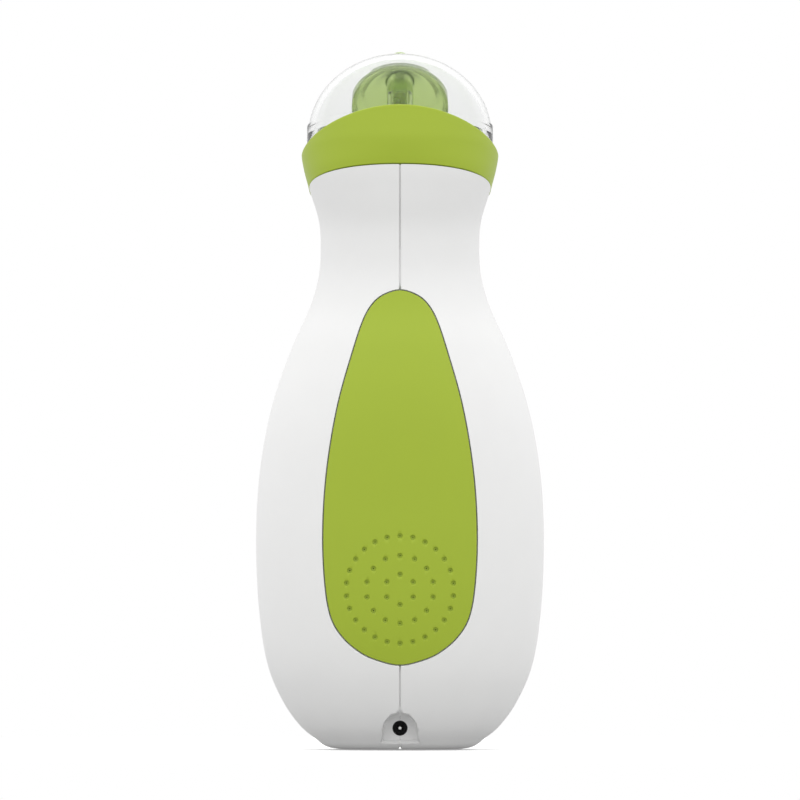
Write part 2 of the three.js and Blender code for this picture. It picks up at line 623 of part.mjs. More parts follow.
// The suction tube from the pump's inlet spout up to the port under the chimney.
function makeSuctionTube() {
  const { radius, bore, onInlet, onPort, bends } = SUCTION_TUBE;
  const spoutY = PUMP.plate + PUMP.plateThick + GAP + PUMP.spoutY;
  const inlet = new THREE.Vector3(-PUMP.portX, spoutY, PUMP.spoutTop - onInlet);
  const port = new THREE.Vector3(0, CHIMNEY.y, CHIMNEY.portFoot).applyMatrix4(headFrame);
  const up = new THREE.Vector3(0, 0, 1).transformDirection(headFrame);
  const end = port.clone().addScaledVector(up, onPort);
  const between = [
    new THREE.Vector3(-PUMP.portX, spoutY, PUMP.spoutTop),
    ...bends.map((bend) => new THREE.Vector3(...bend)),
    port.clone().addScaledVector(up, -1),
  ];
  const past = 0.5;
  const sweep = (reach, points, sides) => {
    const ring = new THREE.Shape(Array.from({ length: sides }, (_, i) => {
      const angle = (2 * Math.PI * i) / sides;
      return new THREE.Vector2(reach * Math.cos(angle), reach * Math.sin(angle));
    }));
    const curve = new THREE.CatmullRomCurve3(points);
    return solidFrom(new THREE.ExtrudeGeometry(ring, { steps: 11, bevelEnabled: false, extrudePath: curve }));
  };
  const beforeInlet = inlet.clone().add(new THREE.Vector3(0, 0, -past));
  const afterEnd = end.clone().addScaledVector(up, past);
  const overSpout = PUMP.spoutRadius + GAP;
  const portSocket = turnedGeometry([[0, -1], [overSpout, -1], [overSpout, onPort + 1], [0, onPort + 1]], 12)
    .applyMatrix4(new THREE.Matrix4().makeRotationX(HEAD.tilt).setPosition(port));
  return cut(
    sweep(radius, [inlet, ...between, end], 10),
    sweep(bore, [beforeInlet, ...between, afterEnd], 8),
    barZ(overSpout, [inlet.z - 1, PUMP.spoutTop + past], inlet.x, inlet.y, 12),
    solidFrom(portSocket),
  );
}

function makeSpeaker() {
  const { height } = GRILLE;
  const frame = turnedY([
    [15, 26.4], [15, 24.9], [13.6, 24.9], [9.5, 18.9], [7.5, 18.9], [7.5, 19.9], [8.9, 19.9],
    [12.9, 25.8], [12.9, 26.4], [15, 26.4],
  ], 0, height, 20);
  const cone = turnedY([
    [0, 23.4], [4.0, 22.4], [4.6, 22.0], [11.2, 25.5], [12.5, 25.5], [12.5, 26.0], [11.0, 26.0],
    [4.8, 22.6], [4.0, 23.0], [0, 24.0],
  ], 0, height, 16);
  const magnet = turnedY([[0, 14.0], [8.2, 14.0], [8.2, 18.6], [0, 18.6]], 0, height, 24);
  return { frame, cone, magnet };
}

function makeJack() {
  const { height, face, radius, bore, pin, backWall } = JACK;
  const { halfWidth, back, front, down, up } = JACK_BODY;
  const body = joined(
    block(mirrored(halfWidth), [back, front], [height - down, height + up]),
    barY(radius, [front - GAP, face - 0.2], 0, height, 20),
  );
  return {
    body: cut(body, barY(bore, [backWall, face + 1], 0, height, 20)),
    pin: barY(pin, [backWall + GAP, face - 1], 0, height, 10),
  };
}

// ---------------------------------------------------------------- assembly

const group = new THREE.Group();

function place(parent, name, solid, material) {
  const mesh = new THREE.Mesh(geometryFrom(solid), MATERIALS[material]);
  mesh.name = name;
  parent.add(mesh);
  return mesh;
}

function addCase() {
  const outer = bodySolid(0);
  const proud = bodySolid(-BUTTON_PROUD);
  const shells = makeShells(outer, bodySolid(RECESS));
  place(group, 'shell_left', shells.left, 'white');
  place(group, 'shell_right', shells.right, 'white');
  place(group, 'rear_panel', cut(makePanel(outer, 1), ...makeGrilleHoles()), 'green');
  const buttonHoles = BUTTONS.map(({ height, radius }) =>
    barY(radius + GAP, [-FAR / 2, BOARD.front], 0, height, 24));
  place(group, 'front_panel', cut(makePanel(outer, -1), ...buttonHoles, lensPrism(GAP)), 'green');
  place(group, 'level_lens', cut(outer, bodySolid(RECESS)).intersect(lensPrism(0)), 'clear');
  BUTTONS.forEach((button) => place(group, `${button.name}_button`, makeButton(button, proud), 'white'));
  CASE_SCREWS.forEach((screw, i) => place(group, `case_screw_${i + 1}`, makeCaseScrew(screw), 'steel'));
}

function addHead() {
  const head = new THREE.Group();
  head.applyMatrix4(headFrame);
  place(head, 'collar', makeCollar(), 'green');
  place(head, 'head_dome', makeDome(), 'clear');
  place(head, 'dome_seal', makeDomeSeal(), 'rubber');
  place(head, 'chamber_cup', makeChamberCup(), 'greenClear');
  const filter = barZ(CHIMNEY.bore - GAP, [FILTER_FOOT, CHIMNEY.top - GAP], 0, CHIMNEY.y, 12);
  place(head, 'suction_filter', filter, 'paper');
  const nozzle = new THREE.Group();
  nozzle.rotation.x = nozzleTilt;
  place(nozzle, 'nozzle_cap', makeNozzleCap(), 'greenClear');
  place(nozzle, 'nose_tip', makeNoseTip(), 'softGreen');
  head.add(nozzle);
  group.add(head);
}

function addPump() {
  const { crankcase, diaphragm, plate, lid, flaps } = makePump();
  place(group, 'pump_crankcase', crankcase, 'grey');
  place(group, 'eccentric', makeEccentric(), 'grey');
  place(group, 'connecting_rod', makeConRod(), 'white');
  place(group, 'diaphragm', diaphragm, 'rubber');
  place(group, 'valve_plate', plate, 'grey');
  place(group, 'inlet_valve', flaps[0], 'rubber');
  place(group, 'outlet_valve', flaps[1], 'rubber');
  place(group, 'pump_cover', lid, 'grey');
  place(group, 'suction_tube', makeSuctionTube(), 'rubber');
  const { shaft, can, endCap, armature } = makeMotor();
  place(group, 'motor_can', can, 'steel');
  place(group, 'motor_end_cap', endCap, 'black');
  place(group, 'motor_armature', armature, 'copper');
  place(group, 'motor_shaft', shaft, 'steel');
  place(group, 'motor_mount', makeMotorMount(), 'rubber');
}

function addElectronics() {
  place(group, 'chassis', makeChassis(), 'grey');
  const cellHeights = [CELL.bottom, CELL.bottom + CELL.length];
  place(group, 'battery_cell_left', barZ(CELL.radius, cellHeights, CELL.x, CELL.y, 24), 'cell');
  place(group, 'battery_cell_right', barZ(CELL.radius, cellHeights, -CELL.x, CELL.y, 24), 'cell');
  const { front, back, halfWidth, bottom, top } = BOARD;
  place(group, 'main_board', block(mirrored(halfWidth), [front, back], [bottom, top]), 'board');
  const onBoard = (width, half, thick, height) => block(
    mirrored(width), [front - SOLDER - thick, front - SOLDER], [height - half, height + half],
  );
  BUTTONS.forEach(({ name, height }) => {
    place(group, `${name}_switch`, onBoard(SWITCH.half, SWITCH.half, SWITCH.thick, height), 'black');
  });
  for (let i = 0; i < LIGHTS.count; i += 1) {
    const height = LENS.height + (i - (LIGHTS.count - 1) / 2) * LIGHTS.pitch;
    const light = onBoard(LIGHTS.halfWidth, LIGHTS.halfHeight, LIGHTS.thick, height);
    place(group, `level_light_${i + 1}`, light, 'paper');
  }
  const { frame, cone, magnet } = makeSpeaker();
  place(group, 'speaker_frame', frame, 'green');
  place(group, 'speaker_cone', cone, 'softGreen');
  place(group, 'speaker_magnet', magnet, 'steel');
  const { body, pin } = makeJack();
  place(group, 'dc_jack', body, 'black');
  place(group, 'dc_pin', pin, 'steel');
}

addCase();
addHead();
addPump();
addElectronics();

// Centre the plan of the whole object on the origin.
group.updateMatrixWorld(true);
const box = new THREE.Box3().setFromObject(group, true);
group.position.y = -(box.min.y + box.max.y) / 2;

export default group;
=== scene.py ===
import json
import math

import bmesh
import bpy
import numpy as np
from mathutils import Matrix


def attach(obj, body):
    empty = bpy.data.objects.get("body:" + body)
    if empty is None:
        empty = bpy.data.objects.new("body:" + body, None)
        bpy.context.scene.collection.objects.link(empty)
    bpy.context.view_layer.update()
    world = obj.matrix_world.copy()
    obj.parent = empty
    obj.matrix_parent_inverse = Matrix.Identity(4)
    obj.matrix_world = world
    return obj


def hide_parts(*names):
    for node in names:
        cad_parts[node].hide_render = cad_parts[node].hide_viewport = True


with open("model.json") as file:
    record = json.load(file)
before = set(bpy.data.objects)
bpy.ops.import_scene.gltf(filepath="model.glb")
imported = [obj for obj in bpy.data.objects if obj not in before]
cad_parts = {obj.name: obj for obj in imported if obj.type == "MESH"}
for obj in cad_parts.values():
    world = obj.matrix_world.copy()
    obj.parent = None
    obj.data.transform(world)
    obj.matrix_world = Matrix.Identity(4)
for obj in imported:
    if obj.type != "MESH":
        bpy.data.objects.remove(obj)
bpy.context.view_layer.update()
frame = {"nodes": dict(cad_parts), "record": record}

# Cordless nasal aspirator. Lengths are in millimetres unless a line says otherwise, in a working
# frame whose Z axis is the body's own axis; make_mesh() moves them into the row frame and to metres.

JOINTS = {joint["name"]: joint for joint in frame["record"]["behaviour"]["joints"]}
MM = 0.001
MOTOR_Y = -4.0
SHIFT_Y = JOINTS["rotor_spin"]["pos_m"][1] / MM - MOTOR_Y

# Body: height and half-width, from the base to the flare under the collar.
BODY_PROFILE = np.array([
    (0, 15.6), (0.1, 16.7), (0.3, 17.8), (0.6, 18.8), (1.03, 19.7), (1.6, 20.5), (2.3, 21.3),
    (5.4, 25.2), (11.6, 29.8), (20.9, 33.9), (33.3, 36.1),
    (50, 37.1), (66, 36.7), (80, 34.9), (92, 32.0), (104, 27.7), (114, 23.2),
    (122, 20.95), (129, 20.45), (136, 20.9), (143.7, 23.2), (148, 24.6), (153, 25.4),
])
# Its depth as a share of its width, and the power of the superellipse that each section is, below
# BELLY_TOP and above NECK_FOOT.
BELLY_RATIO, NECK_RATIO = 0.87, 1.0
BELLY_POWER, NECK_POWER = 2.35, 2.2
BELLY_TOP, NECK_FOOT = 60.0, 125.0
# The body's wall, the depth of the panels' recesses, a panel's thickness, the gap between pieces,
# and how far a recess cutter stands out past the skin.
WALL = 3.0
RECESS = 1.5
PANEL = 1.2
GAP = 0.3
CLEAR_OF_SKIN = 10.0

# The halves' edges: distance from the seam face and depth below the skin, into a shallow groove,
# and a small notch where the seam meets the base.
SEAM = 0.02
SEAM_ROUNDS = np.array([(0.5, 0.0), (0.36, 0.02), (0.25, 0.09), (0.18, 0.22), (0.15, 0.55), (0.0, 0.55)])
NOTCH_WIDTH, NOTCH_HEIGHT, NOTCH_FADE = 0.5, 0.8, 1.6

# The body's upper edge slopes down to the front, and is drawn in under the collar at the back.
EDGE_HEIGHT, EDGE_SLOPE, EDGE_BLEND = 143.9, math.tan(math.radians(16)), 116
BACK_TUCK, TUCK_BETWEEN = 0.038, (138, 150)

# The shells' grid: rows up the body, columns round a half, and how far round the columns go.
SHELL_ROWS, FOOT_ROWS, SHELL_COLUMNS, SHELL_SWEEP = 120, 10, 96, 88.6
BASE_SPREADS = (0.02, 0.3, 0.6, 0.85, 0.97)

# The dome, collar and cup share an axis that leans forward by HEAD_TILT. Their heights are measured
# along it from HEAD_CENTRE, and the profile tables below are of (height, radius). The roundings are
# steps (back, down) or (back, up) on the skirt, and (down, back) or (down, out) on the collar's rim.
HEAD_TILT = math.radians(10)
HEAD_CENTRE = np.array([0, -10.4 * math.sin(HEAD_TILT), 148 + 10.4 * math.cos(HEAD_TILT)])
DOME_RADIUS, DOME_HEIGHT, DOME_WALL = 23.7, 21.1, 1.3
SKIRT_RADIUS, SKIRT_TOP, SKIRT_FOOT = 24.0, 2.3, -7.0
LEDGE_ABOVE = 0.02
SKIRT_TOP_ROUND = ((0.12, 0.0), (0.03, 0.05), (0.0, 0.15))
SKIRT_FOOT_ROUND = ((0.0, 0.25), (0.08, 0.08), (0.25, 0.0))
COLLAR_PROFILE = [
    (-19, 22.6), (-13.9, 23.5), (-9.3, 24.7), (-5.2, 25.4), (-1.5, 25.3), (3, 25.05), (14, 24.95),
]
RIM_FRONT, RIM_SLOPE, RIM_BLEND = 152.0, 14.0, 0.2
COLLAR_BORE, COLLAR_SHELF, COLLAR_THROAT, COLLAR_WALL = 24.3, -7.3, 22.3, 1.7
COLLAR_SQUARE, SQUARE_BETWEEN = 0.3, (-14, -5)
COLLAR_SPAN, RIM_RADIUS = (-24.0, 13.0), 25.0
COLLAR_FOOT_ROUND, COLLAR_RIM_DROP = 0.12, 0.32
RIM_OUTER_ROUND = ((0.22, 0.03), (0.12, 0.1), (0.05, 0.2), (0.01, 0.32), (0.0, 0.42))
RIM_INNER_ROUND = ((0.0, 0.24), (0.04, 0.1), (0.12, 0.03), (COLLAR_RIM_DROP, 0.0))

# The nozzle's axis points forward, 31 degrees above the horizontal. The heights of its cap, spout and
# tip are measured along it from HEAD_CENTRE.
NOZZLE_TILT = math.radians(90 - 31) - HEAD_TILT
NOZZLE_BACK, NOZZLE_HOLE, PLUG_WALL = 14.7, 12.9, 1.2
HOLE_EDGE, HOLE_ROUND = 0.25, 0.06
CAP_OUTSIDE = np.array([
    (19.9, NOZZLE_HOLE - GAP), (20.5, 12.2), (21.3, 11.5), (22.5, 10.3), (24.0, 9.0), (26.0, 7.2),
    (29.5, 5.0), (31.0, 4.2),
])
CAP_HOLLOW = np.array([(18.9, 9.2), (20.2, 9.0), (21.8, 8.0), (24.6, 5.9), (28.0, 3.9)])
SPOUT_RADIUS, SPOUT_BORE, SPOUT_FOOT, SPOUT_END = 2.6, 1.8, 31.0, 34.5
STEM_RADIUS, STEM_PROUD, PLUG_STEP = 3.5, 1.0, 18.6
TIP_END, TIP_END_RADIUS = 39.0, 2.1
TIP_OUTSIDE = np.array([(31.3, 4.2), (33.0, 3.9), (35.2, 3.2), (37.0, 2.7), (TIP_END - 0.6, 2.6)])
TIP_BORE, TIP_SOCKET, TIP_STOP = 1.3, 2.9, 35.0

# Chamber cup, its seal, and the suction chimney with the port below it and the filter in it.
CUP_FOOT, CUP_FLOOR, CUP_RIM, CUP_RADIUS, CUP_WALL = -9.4, -7.8, 0.5, 21.9, 1.7
SEAL_LOW, SEAL_HIGH = -3.6, -1.6
CHIMNEY_Y, CHIMNEY_RADIUS, CHIMNEY_BORE, CHIMNEY_TOP = 15, 3.0, 1.8, 8.5
PORT_RADIUS, PORT_FOOT, PORT_BORE = 1.7, -14, 0.9
FILTER_FOOT = 4.0
SEAL_GROOVE, SEAL_PROUD, SEAL_NOSE = 1.0, 0.2, 0.3

# Half of the outline of a panel's recess as (x, height), from its top to its foot.
PANEL_OUTLINE = [
    (0, 118.5), (4.0, 117.4), (6.84, 115.3), (9.4, 111.2), (12.25, 102.9), (16.25, 88.5), (19.0, 72),
    (20, 56.5), (19.5, 43), (17.9, 34), (14.6, 28.6), (9.5, 24.5), (4.1, 22.4), (0, 21.7),
]
PANEL_CENTRE = 70.0
PLATE_EDGE = 0.18

# Speaker holes: rings of (count, radius), each hole wide at the face and fine behind it, with its
# mouth rounded by (offset, depth). The speaker's frame is (radius, distance back from the axis).
GRILLE_RINGS = [(26, 13.8), (14, 8.7), (6, 3.9)]
GRILLE_HEIGHT, GRILLE_HOLE, GRILLE_CORE, GRILLE_DEEP = 41.3, 0.65, 0.15, 0.5
GRILLE_MOUTH = [(0.07, -0.6), (0.07, -0.01), (0.05, 0.0), (0.02, 0.03), (0.0, 0.07)]
SPEAKER_OPENING = 14.6
BASKET_PROFILE = [(15.0, 26.4), (13.2, 26.4), (12.8, 25.4), (8.8, 20.4), (8.8, 18.9), (15.0, 24.2)]

# Buttons: height and radius. Signs: share of the radius, stroke width and depth.
BUTTONS = {"power": (84, 6.5), "plus": (66, 4.5), "minus": (52, 4.5)}
BUTTON_PROUD, BUTTON_EDGE, BUTTON_STEM, STEM_END, STEM_ROOM = 0.8, 0.45, 2.0, -27.3, 0.6
SIGN_REACH, SIGN_STROKE, POWER_STROKE, SIGN_DEPTH = 0.95, 0.8, 0.7, 0.22
POWER_BAR, RING_RADIUS, RING_HALF_STROKE, RING_GAP = 0.55, 0.42, 0.35, math.radians(38)
LENS_HEIGHT, LENS_WIDTH, LENS_LENGTH, LENS_EDGE = 36, 2.8, 19.4, 0.25

# Charging socket, and the recess round it as (distance from the axis, foot, half-foot, arch radius).
# The arch's centre and its legs' tops are heights. Inside, a thicker wall stands behind the recess.
JACK_HEIGHT, JACK_FACE, JACK_RADIUS, JACK_BORE, JACK_PIN = 5.55, 16.8, 1.93, 1.75, 0.65
JACK_BACK, JACK_SHOULDER, JACK_BODY, JACK_END, JACK_SUNK, PIN_SUNK = 8.0, 13.0, 3.1, 6.0, 0.2, 1.0
RECESS_LOOPS = [
    (JACK_FACE, 2.55, 4.4, 4.2), (JACK_FACE + 0.1, 2.5, 4.45, 4.27), (JACK_FACE + 0.3, 2.3, 4.55, 4.35),
    (17.9, 1.5, 5.2, 4.4), (19.3, 1.35, 5.3, 4.5), (30, 1.3, 5.3, 4.6),
]
ARCH_CENTRE, LEG_TOP = 5.05, 3.2
BOSS_HALF_WIDTH, BOSS_TOP, BOSS_FACE = 7.5, 13, 13.6


# ------------------------------------------------------------------ the body's surface

def smoothstep(value, low, high):
    t = np.clip((np.asarray(value, float) - low) / (high - low), 0, 1)
    return t * t * (3 - 2 * t)


def cubic(table, at):
    """A smooth curve through the table's points, at the given first coordinates."""
    table = np.asarray(table, float)
    at = np.asarray(at, float)
    keys, values = table[:, 0], table[:, 1]
    last = len(keys) - 1
    below = np.maximum(np.arange(last + 1) - 1, 0)
    above = np.minimum(np.arange(last + 1) + 1, last)
    slopes = (values[above] - values[below]) / (keys[above] - keys[below])
    i = np.clip(np.searchsorted(keys, at) - 1, 0, last - 1)
    span = keys[i + 1] - keys[i]
    t = (at - keys[i]) / span
    s = 1 - t
    return (s * s * (1 + 2 * t) * values[i] + t * t * (3 - 2 * t) * values[i + 1]
            + span * t * s * (s * slopes[i] - t * slopes[i + 1]))


def section(z, inset=0.0):
    """Half-width, half-depth and superellipse power of the body at height z, drawn in by inset."""
    t = smoothstep(z, BELLY_TOP, NECK_FOOT)
    width = cubic(BODY_PROFILE, np.clip(z, 0, BODY_PROFILE[-1, 0]))
    ratio = BELLY_RATIO + (NECK_RATIO - BELLY_RATIO) * t
    power = BELLY_POWER + (NECK_POWER - BELLY_POWER) * t
    return width - inset, width * ratio - inset, power


def skin_depth(x, z, inset=0.0):
    """How far the body's surface stands from the plane Y = 0 at (x, z)."""
    width, depth, power = section(z, inset)
    across = np.clip(np.abs(x) / width, 0, 0.999)
    return depth * (1 - across ** power) ** (1 / power)


# ------------------------------------------------------------------ meshes

SHARP_ANGLE = math.radians(35)
SAME_POINT, NO_LENGTH, SLIVER = 2e-7, 1e-7, 1e-6  # metres


def make_mesh(name, verts, faces):
    """A closed mesh in the row frame from working-frame millimetres, with faces turned outwards."""
    points = (np.asarray(verts, float) + (0, SHIFT_Y, 0)) * MM
    mesh = bpy.data.meshes.new(name)
    mesh.from_pydata(points.tolist(), [], [list(map(int, face)) for face in faces])
    work = bmesh.new()
    work.from_mesh(mesh)
    bmesh.ops.remove_doubles(work, verts=work.verts, dist=SAME_POINT)
    bmesh.ops.dissolve_degenerate(work, edges=work.edges, dist=NO_LENGTH)
    bmesh.ops.recalc_face_normals(work, faces=work.faces)
    work.to_mesh(mesh)
    work.free()
    piece = bpy.data.objects.new(name, mesh)
    bpy.context.scene.collection.objects.link(piece)
    soften(piece)
    return piece


def soften(piece):
    """Smooth shading that keeps edges sharper than SHARP_ANGLE."""
    piece.data.shade_smooth()
    piece.data.set_sharp_from_angle(angle=SHARP_ANGLE)
    normals = piece.modifiers.new("weighted", "WEIGHTED_NORMAL")
    normals.keep_sharp = True


def stack(loops, closed=False):
    """Vertices and faces of a surface through loops of equal length; open ends are capped."""
    loops = [np.asarray(loop, float) for loop in loops]
    count = len(loops[0])
    verts = np.concatenate(loops)
    faces = []
    pairs = len(loops) if closed else len(loops) - 1
    for row in range(pairs):
        a, b = row * count, ((row + 1) % len(loops)) * count
        for i in range(count):
            j = (i + 1) % count
            faces.append((a + i, a + j, b + j, b + i))
    if not closed:
        faces.append(tuple(range(count)))
        faces.append(tuple(range((len(loops) - 1) * count, len(loops) * count)))
    return verts, faces


def round_corners(profile, radius, closed, steps=4, least_turn=math.radians(12)):
    """The profile with each real corner replaced by a small curve of about the given radius."""
    points = [np.array(point, float) for point in profile]
    count = len(points)
    result = []
    for i, here in enumerate(points):
        if not closed and i in (0, count - 1):
            result.append(here)
            continue
        before, after = points[i - 1], points[(i + 1) % count]
        u, v = before - here, after - here
        lu, lv = np.linalg.norm(u), np.linalg.norm(v)
        u, v = u / lu, v / lv
        turn = math.acos(float(np.clip(-u @ v, -1, 1)))
        if turn < least_turn:
            result.append(here)
            continue
        reach = min(radius * math.tan(turn / 2), 0.45 * lu, 0.45 * lv)
        start, end = here + u * reach, here + v * reach
        for k in range(steps + 1):
            t = k / steps
            result.append((1 - t) ** 2 * start + 2 * t * (1 - t) * here + t * t * end)
    return np.array(result)


def lathe(profile, segments):
    """Loops of a profile of (radius, height) points turned about Z."""
    angles = np.arange(segments) * 2 * math.pi / segments
    ring = np.stack([np.cos(angles), np.sin(angles)], 1)
    return [np.column_stack([ring * max(r, 1e-5), np.full(segments, z)]) for r, z in profile]


def turned(name, profile, place, segments, radius, closed=False):
    """A turned piece with rounded corners, placed by a function from local points."""
    loops = [place(loop) for loop in lathe(round_corners(profile, radius, closed), segments)]
    return make_mesh(name, *stack(loops, closed))


def cut(piece, *cutters):
    """Takes the cutters away from the piece."""
    for cutter in cutters:
        boolean(piece, cutter, "DIFFERENCE")


def boolean(piece, other, operation):
    """Joins the other mesh to the piece or takes it away, keeps the result and drops the other."""
    piece.modifiers.clear()
    tool = piece.modifiers.new("tool", "BOOLEAN")
    tool.operation, tool.solver, tool.object = operation, "MANIFOLD", other
    graph = bpy.context.evaluated_depsgraph_get()
    mesh = bpy.data.meshes.new_from_object(piece.evaluated_get(graph))
    piece.modifiers.clear()
    old = piece.data
    piece.data = mesh
    bpy.data.meshes.remove(old)
    bpy.data.objects.remove(other)
    clean(piece)
    soften(piece)


def clean(piece):
    """Drops the slivers that a boolean leaves."""
    work = bmesh.new()
    work.from_mesh(piece.data)
    bmesh.ops.remove_doubles(work, verts=work.verts, dist=SLIVER)
    bmesh.ops.dissolve_degenerate(work, edges=work.edges, dist=SLIVER)
    work.to_mesh(piece.data)
    work.free()


def in_head(points):
    """From the head frame, Z along the lift direction, to the working frame."""
    x, y, z = np.asarray(points, float).T
    c, s = math.cos(HEAD_TILT), math.sin(HEAD_TILT)
    return np.column_stack([x, y * c - z * s, y * s + z * c]) + HEAD_CENTRE


def in_nozzle(points):
    """From the nozzle frame, Z along the nozzle, to the working frame."""
    x, y, z = np.asarray(points, float).T
    c, s = math.cos(NOZZLE_TILT), math.sin(NOZZLE_TILT)
    return in_head(np.column_stack([x, y * c - z * s, y * s + z * c]))


def facing_back(height):
    """From a frame whose Z is +Y and whose origin is on the axis at the height given."""
    def place(points):
        x, y, z = np.asarray(points, float).T
        return np.column_stack([x, z, height - y])
    return place


# ------------------------------------------------------------------ outlines in the XZ plane

def circle(radius, x=0.0, z=0.0, count=48):
    """An outline function: offset to points, round a circle."""
    angles = np.arange(count) * 2 * math.pi / count
    ring = np.stack([np.cos(angles), np.sin(angles)], 1)
    return lambda offset=0.0: ring * (radius + offset) + (x, z)


def stadium(width, length, z, upright=True, count=64):
    """An outline function for a slot with round ends."""
    angles = np.arange(count) * 2 * math.pi / count
    straight = (length - width) / 2

    def outline(offset=0.0):
        radius = width / 2 + offset
        across, along = radius * np.cos(angles), radius * np.sin(angles)
        along = along + np.where(np.sin(angles) >= 0, straight, -straight)
        pair = (across, along) if upright else (along, across)
        return np.column_stack([pair[0], pair[1] + z])
    return outline


def teardrop(count=240):
    """An outline function for the panels: a smooth closed curve, offset along its normals."""
    right = np.array(PANEL_OUTLINE, float)
    points = np.concatenate([right, right[1:-1][::-1] * (-1, 1)])
    knots = [0.0]
    for here, there in zip(points, np.roll(points, -1, 0)):
        knots.append(knots[-1] + math.sqrt(np.linalg.norm(there - here)))
    padded = np.concatenate([points[-2:], points, points[:3]])
    steps = np.diff(knots)
    keys = np.concatenate([[-steps[-1] - steps[-2], -steps[-1]], knots[:-1],
                           knots[-1] + np.array([0, steps[0], steps[0] + steps[1]])])
    at = np.linspace(0, knots[-1], 4 * count, endpoint=False)
    curve = np.column_stack([cubic(np.column_stack([keys, padded[:, k]]), at) for k in (0, 1)])
    lengths = np.concatenate([[0], np.cumsum(np.linalg.norm(np.diff(
        np.vstack([curve, curve[:1]]), axis=0), axis=1))])
    even = np.linspace(0, lengths[-1], count, endpoint=False)
    looped = np.vstack([curve, curve[:1]])
    line = np.column_stack([np.interp(even, lengths, looped[:, k]) for k in (0, 1)])
    along = np.roll(line, -1, 0) - np.roll(line, 1, 0)
    along /= np.linalg.norm(along, axis=1, keepdims=True)
    normal = np.column_stack([-along[:, 1], along[:, 0]])
    normal *= np.sign(((line - line.mean(0)) * normal).sum(1)).mean()
    return lambda offset=0.0: line + normal * offset


TEARDROP = teardrop()


# ------------------------------------------------------------------ pieces that follow the body

BACK_BEVEL, OVERSHOOT = 0.1, 0.01


def on_skin(points, side, inset):
    """Points (x, z) laid on the front (-1) or back (1) of the body, inset below its surface."""
    x, z = np.asarray(points, float).T
    return np.column_stack([x, side * skin_depth(x, z, inset), z])


def quarter_round(radius, steps=5):
    """(inwards, down) of points round a quarter circle, from its top to its side."""
    turns = [k / steps * math.pi / 2 for k in range(steps + 1)]
    return [(radius * (1 - math.sin(turn)), radius * (1 - math.cos(turn))) for turn in turns]


def skin_plate(name, outline, centre, side, top, bottom, edge, rings):
    """A plate whose faces follow the body's surface, with a rounded upper edge."""
    centre = np.array(centre, float)
    loops = []
    inner = outline(-edge)
    for k in range(1, rings + 1):
        loops.append(on_skin(centre + (inner - centre) * k / rings, side, top))
    loops += [on_skin(outline(-inwards), side, top + down) for inwards, down in quarter_round(edge)[1:]]
    low = outline(-BACK_BEVEL)
    loops.append(on_skin(outline(0.0), side, bottom - BACK_BEVEL))
    loops.append(on_skin(low, side, bottom))
    for k in range(7, 0, -1):
        loops.append(on_skin(centre + (low - centre) * k / 8, side, bottom))
    return make_mesh(name, *stack(loops))


def skin_cutter(outline, side, deep, flare, reach=2.0, centre=None):
    """A cutter that follows the body's surface and opens out a little at the surface."""
    loops = [on_skin(outline(flare), side, -reach)]
    loops += [on_skin(outline(out), side, down - OVERSHOOT) for out, down in quarter_round(flare)]
    floor = outline(0.0)
    loops.append(on_skin(floor, side, deep))
    if centre is not None:
        middle = np.array(centre, float)
        loops += [on_skin(middle + (floor - middle) * k / 24, side, deep) for k in range(23, 0, -1)]
    return make_mesh("cutter", *stack(loops))


def bar_y(outline, y0, y1):
    """A straight cutter of the outline, along Y."""
    points = outline(0.0)
    loops = [np.column_stack([points[:, 0], np.full(len(points), y), points[:, 1]]) for y in (y0, y1)]
    return make_mesh("cutter", *stack(loops))


def join(pieces):
    """Several separate meshes as one object."""
    work = bmesh.new()
    for piece in pieces:
        work.from_mesh(piece.data)
    first = pieces[0]
    work.to_mesh(first.data)
    work.free()
    for piece in pieces[1:]:
        bpy.data.objects.remove(piece)
    return first


